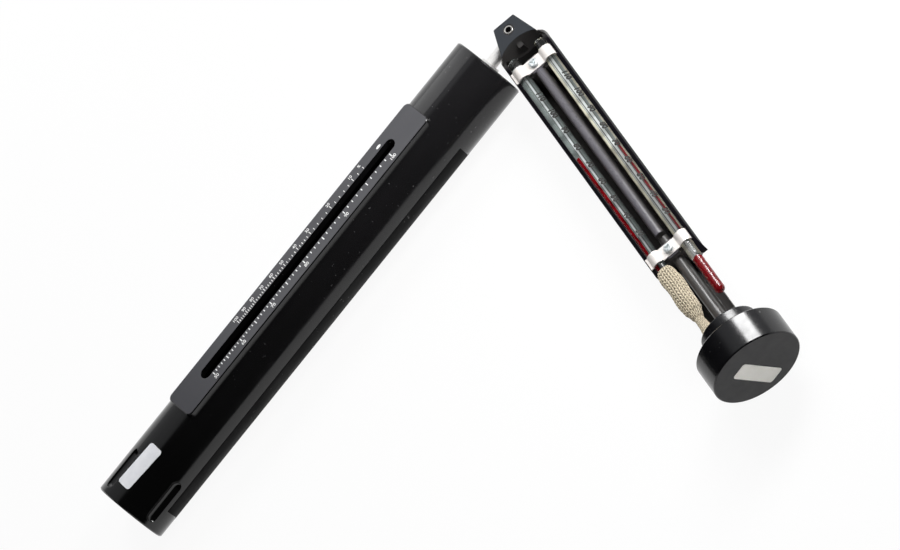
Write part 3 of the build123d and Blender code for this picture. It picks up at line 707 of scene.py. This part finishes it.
# ---- scales printed on the handle's pad
padScales = {
    "face": 14.85, "ink": 0.02, "tickFrom": 2.75, "tickTo": 3.75, "longTo": 4.35, "tickWidth": 0.42,
    "fineWidth": 0.3, "numberAt": 5.35, "numberSize": 2.05, "percentSize": 1.845, "bold": 0.012,
    "degreeRuns": (59.4, 75.1, 92.4, 111.7, 134.9, 162.0), "degreeFirst": 50, "degreeStep": 10,
    "percentRuns": (79.5, 84.3, 89.0, 94.6, 100.2, 106.3, 113.9, 121.3, 133.3, 146.2),
    "percentFirst": 100, "percentStep": -10, "percentEnd": 152.1, "percentSign": 151.5,
    "ovalAt": (161.6, 3.9), "ovalHalf": (1.15, 0.62), "ovalSteps": 24,
}


def smoothRuns(runs, parts):
    # places between the numbered marks, with the spacing growing steadily
    slopes = []
    for index in range(len(runs)):
        low, high = max(index - 1, 0), min(index + 1, len(runs) - 1)
        slopes.append((runs[high] - runs[low]) / (high - low))
    marks = []
    for index in range(len(runs) - 1):
        start, end = runs[index], runs[index + 1]
        for part in range(parts):
            share = part / parts
            square, cube = share ** 2, share ** 3
            marks.append(
                (2 * cube - 3 * square + 1) * start + (cube - 2 * square + share) * slopes[index]
                + (-2 * cube + 3 * square) * end + (cube - square) * slopes[index + 1])
    marks.append(runs[-1])
    return marks


points, faces = [], []
low, high = padScales["face"] - padScales["ink"] / 2, padScales["face"] + padScales["ink"]


def padTick(run, sideFrom, sideTo, width):
    gather(points, faces, boxPoints((run - width / 2, sideFrom, low), (run + width / 2, sideTo, high), onPad))


def padNumber(text, run, side, size):
    at = (run, side, padScales["face"])
    gather(points, faces, numberPoints(text, size, at, onPad, padScales["ink"] * 2, padScales["bold"]))


for index, run in enumerate(smoothRuns(padScales["degreeRuns"], 10)):
    end = padScales["longTo"] if index % 5 == 0 else padScales["tickTo"]
    padTick(run, -end, -padScales["tickFrom"], padScales["tickWidth"])
for index, run in enumerate(padScales["degreeRuns"]):
    value = padScales["degreeFirst"] + padScales["degreeStep"] * index
    padNumber(str(value), run, -padScales["numberAt"], padScales["numberSize"])
for index, run in enumerate(smoothRuns(padScales["percentRuns"], 5)):
    end = padScales["longTo"] if index % 5 == 0 else padScales["tickTo"]
    padTick(run, padScales["tickFrom"], end, padScales["fineWidth"])
lastRun = padScales["percentRuns"][-1]
for share in (0.5, 1):
    run = lastRun + share * (padScales["percentEnd"] - lastRun)
    padTick(run, padScales["tickFrom"], padScales["tickTo"], padScales["fineWidth"])
for index, run in enumerate(padScales["percentRuns"]):
    value = padScales["percentFirst"] + padScales["percentStep"] * index
    padNumber(str(value), run, padScales["numberAt"], padScales["percentSize"])
padNumber("%", padScales["percentSign"], padScales["numberAt"], padScales["percentSize"])
steps = padScales["ovalSteps"]
oval = []
for height in (low, high):
    for step in range(steps):
        turn = 2 * math.pi * step / steps
        oval.append(onPad(
            padScales["ovalAt"][0] + padScales["ovalHalf"][0] * math.cos(turn),
            padScales["ovalAt"][1] + padScales["ovalHalf"][1] * math.sin(turn), height))
ends = [tuple(range(steps)), tuple(range(steps, 2 * steps))]
gather(points, faces, (oval, ends + ringFaces(2, steps)))
addPiece("padScales", points, faces, inkFinish("whiteInk", whiteInk), "handle", False)
print("pad scales are printed")

# ---- matt strip in the shallow recess on the tube's side: a near-black sheet of painted shade
sideStrip = {
    "from": 9.3, "to": 179.9, "turnFrom": 79.6, "turnTo": 120.4, "inner": 14.1, "outer": 14.19, "steps": 24,
}
# painted shade: near-black, rough, barely reflecting
stripShadePlastic = dict(
    handlePlastic, color=(0.0015, 0.0015, 0.0016), colorTwo=(0.003, 0.003, 0.003), rough=0.55, roughTwo=0.7,
    ior=1.2)
points = []
for radius in (sideStrip["inner"], sideStrip["outer"]):
    for run in (sideStrip["from"], sideStrip["to"]):
        for step in range(sideStrip["steps"] + 1):
            share = step / sideStrip["steps"]
            turn = math.radians(sideStrip["turnFrom"] + share * (sideStrip["turnTo"] - sideStrip["turnFrom"]))
            points.append(Vector((run, -radius * math.sin(turn), radius * math.cos(turn))) * mm)
addPiece("sideStrip", points, sheetFaces(sideStrip["steps"]), mouldedPlastic("stripShadeFilm", stripShadePlastic),
         "handle")

# ---- thermometers: both lie this far aside of the carrier's middle and above the plane of the hinge
thermometer = {"spread": 6.206, "height": 2.0, "glass": 2.3}

# colours across the enamel backs, at their distance from the middle in mm: cream and straw are the enamel, the
# pale strips are a painted highlight of the glass, and the shade, slate and edge lines beside them are painted
# reflection and shade
enamelAndPaintedLight = {
    "cream": (0.50, 0.46, 0.38), "straw": (0.66, 0.62, 0.50), "pale": (0.74, 0.76, 0.78),
    "pearl": (0.20, 0.225, 0.225), "slate": (0.08, 0.09, 0.09), "shade": (0.07, 0.065, 0.06),
    "edgeShade": (0.02, 0.02, 0.02),
}
backing = {
    "radius": 1.85, "thick": 0.12, "halfTurn": 96, "from": 12.5, "to": 124.0, "steps": 20,
    "reach": 0.8, "waver": 0.03, "waverScale": 90, "waverStretch": (1, 0.15, 1), "rough": 0.4,
    # pale strips are painted highlight; shade, slate and edge lines are painted reflection and shade
    "dryBands": [(-0.78, "edgeShade"), (-0.72, "straw"), (-0.63, "straw"), (-0.58, "pearl"), (-0.52, "pale"),
                 (-0.47, "shade"), (-0.40, "shade"), (-0.34, "pale"), (-0.10, "pale"), (-0.05, "shade"),
                 (0.0, "shade"), (0.05, "pearl"), (0.22, "pearl"), (0.30, "cream"), (0.75, "straw")],
    "wetBands": [(-0.78, "edgeShade"), (-0.70, "pearl"), (-0.40, "pearl"), (-0.34, "slate"), (-0.28, "pale"),
                 (-0.10, "pale"), (-0.04, "slate"), (0.04, "slate"), (0.12, "pearl"), (0.40, "slate"),
                 (0.60, "pearl"), (0.75, "edgeShade")],
}


def bandedEnamel(name, side, bands):
    # enamel colour with a painted highlight strip and painted dark reflection lines across it
    material, tree, shader, place = startMaterial(name)
    share = between(tree, runAside(tree, place, side), -backing["reach"] * mm, backing["reach"] * mm, 0, 1)
    waver = noise(tree, stretched(tree, place, backing["waverStretch"]), backing["waverScale"])
    waver = between(tree, waver, 0, 1, -backing["waver"], backing["waver"])
    ramp = addNode(tree, "ValToRGB")
    plug(tree, mathNode(tree, "ADD", share, waver), ramp.inputs["Fac"])
    stops = ramp.color_ramp.elements
    while len(stops) < len(bands):
        stops.new(0.5)
    for stop, (at, tone) in zip(stops, bands):
        stop.position = at / (2 * backing["reach"]) + 0.5
        stop.color = (*enamelAndPaintedLight[tone], 1)
    plug(tree, ramp.outputs["Color"], shader.inputs["Base Color"])
    shader.inputs["Roughness"].default_value = backing["rough"]
    return material


def buildBacking(name, side, material):
    points = []
    for radius in (backing["radius"], backing["radius"] - backing["thick"]):
        for run in (backing["from"], backing["to"]):
            for step in range(backing["steps"] + 1):
                share = step / backing["steps"]
                turn = math.radians(-90 + (2 * share - 1) * backing["halfTurn"])
                points.append(ringPoint(run, side, thermometer["height"], radius, turn))
    addPiece(name, points, sheetFaces(backing["steps"]), material, "carrier")


# the glass itself, turned from its outline: rings along the stem, the neck before the bulb, the bulb
glassLine = {
    "from": 9.6, "round": 1.15, "roundSteps": 8, "around": 64, "stemRings": (14, 123, 6),
    "neck": ((1.15, 2.3), (0.8, 2.24), (0.3, 1.99)),
    "bulbFrom": 124.8, "bulbTo": 142.5, "bulbR": 1.95, "bulbRings": (125, 128, 132, 136),
}


def buildGlass(name, side, stands):
    line, stemR = glassLine, thermometer["glass"]
    quarter = [math.pi / 2 * step / line["roundSteps"] for step in range(line["roundSteps"] + 1)]
    outline = [(line["from"] + line["round"] * (1 - math.cos(turn)), stemR * math.sin(turn))
               for turn in quarter]
    outline += [(run, stemR) for run in range(*line["stemRings"])]
    outline += [(line["bulbFrom"] - before, radius) for before, radius in line["neck"]]
    outline += [(run, line["bulbR"]) for run in line["bulbRings"]]
    outline += [(line["bulbTo"] - line["bulbR"] * (1 - math.sin(turn)), line["bulbR"] * math.cos(turn))
                for turn in quarter]
    points = []
    count, rows = line["around"], len(outline) - 2
    for run, radius in outline[1:-1]:
        for step in range(count):
            points.append(ringPoint(run, side, thermometer["height"], radius, 2 * math.pi * step / count))
    faces = ringFaces(rows, count)
    points += [onCarrier(outline[end][0], side, thermometer["height"]) for end in (0, -1)]
    for step in range(count):
        following = (step + 1) % count
        faces.append((step, following, rows * count))
        faces.append(((rows - 1) * count + step, (rows - 1) * count + following, rows * count + 1))
    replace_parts(addPiece(name, points, faces, glassFinish, "carrier"), stands)


spiritLine = {
    "steps": 20, "halfHeight": 0.36, "tipSize": 0.4, "tipLength": 0.25,
    "fillFrom": 124.2, "fillNeck": ((0, 0.5), (0.5, 1.2), (1.1, 1.57)), "fillR": 1.57, "bulbWall": 0.38,
    "fillRound": (0.4, 0.8, 1.15, 1.45),
    "dryColumn": {"top": 64.6, "to": 116.5, "lean": 0.78, "half": 0.27},
    "wetColumn": {"top": 60.5, "to": 124.0, "lean": -1.02, "half": 0.5},
}


def buildSpirit(name, side, column, stands):
    # flat column near the front of the glass, and the filled bulb: rows of run, middle, half width and height
    line, steps = spiritLine, spiritLine["steps"]
    ribbon = [(run, column["lean"], size * column["half"], size * line["halfHeight"]) for run, size in (
        (column["top"], line["tipSize"]), (column["top"] + line["tipLength"], 1), (column["to"], 1))]
    fill, end = line["fillR"], glassLine["bulbTo"] - line["bulbWall"]
    bulb = [(line["fillFrom"] + run, 0, radius, radius) for run, radius in line["fillNeck"]]
    bulb.append((end - fill, 0, fill, fill))
    bulb += [(end - fill + fill * math.sin(turn), 0, fill * math.cos(turn), fill * math.cos(turn))
             for turn in line["fillRound"]]
    points, faces = [], []
    for rows in (ribbon, bulb):
        start = len(points)
        for run, middle, halfWidth, halfHeight in rows:
            for step in range(steps):
                turn = 2 * math.pi * step / steps
                points.append(onCarrier(
                    run, side + middle + halfWidth * math.cos(turn),
                    thermometer["height"] + halfHeight * math.sin(turn)))
        faces += ringFaces(len(rows), steps, start)
        faces.append(tuple(range(start, start + steps)))
        faces.append(tuple(range(len(points) - steps, len(points))))
    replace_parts(addPiece(name, points, faces, spirit, "carrier"), stands)


scalePrint = {
    "from": 30.3, "spacing": 9.0, "count": 9, "first": 110, "valueStep": -10,
    "numberSize": 3.1, "numberTurn": 31, "numberR": 2.34, "ink": 0.03, "bold": 0.05,
    "tickTurn": 64, "tickWidth": 0.22, "tickLength": 0.42, "longBy": 0.35,
    "tickInner": 2.305, "tickOuter": 2.35,
}
scaleInk = inkFinish("blackInk", blackInk)


def buildScale(name, side):
    look, stemR = scalePrint, thermometer["glass"]

    def onGlass(run, arc, radius):
        turn = arc / stemR
        return onCarrier(run, side + radius * math.sin(turn), thermometer["height"] + radius * math.cos(turn))

    numberArc = math.radians(look["numberTurn"]) * stemR
    tickArc = math.radians(look["tickTurn"]) * stemR
    half = look["tickWidth"] / 2
    points, faces = [], []
    for index in range(look["count"]):
        run = look["from"] + index * look["spacing"]
        text, at = str(look["first"] + look["valueStep"] * index), (run, numberArc, look["numberR"])
        gather(points, faces, numberPoints(text, look["numberSize"], at, onGlass, look["ink"], look["bold"]))
        ticks = [(run, look["longBy"])]
        if index < look["count"] - 1:
            ticks.append((run + look["spacing"] / 2, 0))
        for tickRun, longer in ticks:
            gather(points, faces, boxPoints(
                (tickRun - half, tickArc - longer, look["tickInner"]),
                (tickRun + half, tickArc + look["tickLength"], look["tickOuter"]), onGlass))
    addPiece(name, points, faces, scaleInk, "carrier", False)


drySide, wetSide = thermometer["spread"], -thermometer["spread"]
buildGlass("dryStem", drySide, "dry_glass")
buildGlass("wetStem", wetSide, "wet_glass")
buildBacking("dryBacking", drySide, bandedEnamel("creamEnamelPaintedLight", drySide, backing["dryBands"]))
buildBacking("wetBacking", wetSide, bandedEnamel("greyEnamelPaintedLight", wetSide, backing["wetBands"]))
buildSpirit("drySpirit", drySide, spiritLine["dryColumn"], "dry_spirit")
buildSpirit("wetSpirit", wetSide, spiritLine["wetColumn"], "wet_spirit")
buildScale("dryScale", drySide)
buildScale("wetScale", wetSide)
print("thermometers are filled in")

# ---- knitted wick
wickSet = {
    "side": -6.206, "height": 2.0, "wales": 11, "course": 1.5, "yarn": 0.55, "around": 18, "perCourse": 12,
    "profile": ((120.6, 3.0), (122.2, 3.35), (126, 3.62), (132, 3.5), (137, 3.52), (140.5, 3.25),
                (143.2, 2.5), (145.6, 1.8), (148.2, 1.95), (151.5, 2.4), (153.9, 2.5), (154.7, 2.05),
                (156.5, 1.9), (159.5, 1.85)),
    "bore": ((143.0, 0.3), (142.4, 1.9), (141.0, 2.45), (123.1, 2.45), (121.0, 2.5)), "boreShade": 0.1,
    "legHalf": 0.52, "legSlant": 0.85, "legLow": 0.35, "legSoft": 0.7,
    "sway": 0.12, "swayPace": 0.55, "swayIn": 3, "swayEnd": 153.5, "thinBelow": 3.2,
    "lumps": ((0.10, 3, 0.4), (0.07, 5, -0.23)),  # size, number around, pace along the sleeve
    "hem": 0.28, "hemRows": 6,
}


def profileAt(profile, run):
    for (start, startR), (end, endR) in zip(profile, profile[1:]):
        if run <= end:
            share = max(0.0, min(1.0, (run - start) / (end - start)))
            return startR + (endR - startR) * share * share * (3 - 2 * share)
    return profile[-1][1]


def stitch(turnShare, run):
    # height of the yarn at a place of the knitting: two slanting legs to each stitch
    leg = abs((turnShare * wickSet["wales"]) % 1.0 - 0.5) * 2
    ridge = math.sqrt(max(0.0, 1 - ((leg - 0.5) / wickSet["legHalf"]) ** 2))
    slant = abs(math.sin(math.pi * (run / wickSet["course"] + wickSet["legSlant"] * leg)))
    return ridge * (wickSet["legLow"] + (1 - wickSet["legLow"]) * slant ** wickSet["legSoft"])


def buildWick():
    side, height, yarn = wickSet["side"], wickSet["height"], wickSet["yarn"]
    start, end = wickSet["profile"][0][0], wickSet["profile"][-1][0]
    count = wickSet["wales"] * wickSet["around"]
    rows = int((end - start) / wickSet["course"] * wickSet["perCourse"])
    points, shade = [], []
    for run, radius in wickSet["bore"]:
        for step in range(count):
            points.append(ringPoint(run, side, height, radius, 2 * math.pi * step / count))
            # the bore's rings get a low yarn height, so they are darkened with painted shade
            shade.append(wickSet["boreShade"])
    for row in range(rows + 1):
        run = start + (end - start) * row / rows
        base = profileAt(wickSet["profile"], run)
        sway = wickSet["sway"] * math.sin(run * wickSet["swayPace"])
        sway *= min(1.0, (run - start) / wickSet["swayIn"])
        sway *= max(0.0, min(1.0, 1 - (run - wickSet["swayEnd"])))
        thin = min(1.0, base / wickSet["thinBelow"])
        for step in range(count):
            turn = 2 * math.pi * step / count
            high = stitch(step / count, run)
            lumps = sum(size * math.sin(times * turn + pace * run) for size, times, pace in wickSet["lumps"])
            radius = base + lumps * thin - yarn * 0.5 + yarn * high * thin
            scallop = wickSet["hem"] * (0.5 - high) * max(0.0, 1 - row / wickSet["hemRows"])
            points.append(ringPoint(run + scallop, side + sway, height, radius, turn))
            shade.append(high)
    faces = ringFaces(len(wickSet["bore"]) + rows + 1, count)
    faces.append(tuple(range(count)))
    faces.append(tuple(range(len(points) - count, len(points))))
    return points, faces, shade


def cottonFinish(name, look):
    material, tree, shader, place = startMaterial(name)
    depth = addNode(tree, "Attribute", attribute_name="yarnHeight").outputs["Fac"]
    fibre = noise(tree, place, look["fibreScale"], detail=4, roughness=0.7)
    cloud = noise(tree, place, look["cloudScale"])
    light = blendColor(tree, cloud, look["color"], look["colorTwo"])
    # painted shade: the yarn's valleys and the bore are darkened
    shaded = blendColor(tree, between(tree, depth, *look["valleyRange"], 1, 0), light, look["valleyShade"])
    speck = between(tree, fibre, *look["fleckRange"], 0, look["fleck"])
    plug(tree, blendColor(tree, speck, shaded, look["fibre"]), shader.inputs["Base Color"])
    shader.inputs["Roughness"].default_value = look["rough"]
    shader.inputs["Sheen Weight"].default_value = look["sheen"]
    shader.inputs["Sheen Roughness"].default_value = look["sheenRough"]
    bump(tree, shader, fibre, look["depth"])
    return material


wickCotton = {
    "color": (0.56, 0.47, 0.33), "colorTwo": (0.72, 0.63, 0.47), "cloudScale": 180,
    # the valley colour is painted shade
    "valleyShade": (0.05, 0.035, 0.018), "valleyRange": (0.3, 0.88), "fibre": (0.82, 0.77, 0.64), "fleck": 0.2,
    "fleckRange": (0.35, 0.65), "fibreScale": 3200, "depth": 0.00004,
    "rough": 0.9, "sheen": 0.1, "sheenRough": 0.4,
}
points, faces, shade = buildWick()
wick = addPiece("knittedWick", points, faces, cottonFinish("wickCotton", wickCotton), "carrier")
layer = wick.data.attributes.new("yarnHeight", "FLOAT", "POINT")
for index, value in enumerate(shade):
    layer.data[index].value = value
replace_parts(wick, "wick")
print("wick is knitted")
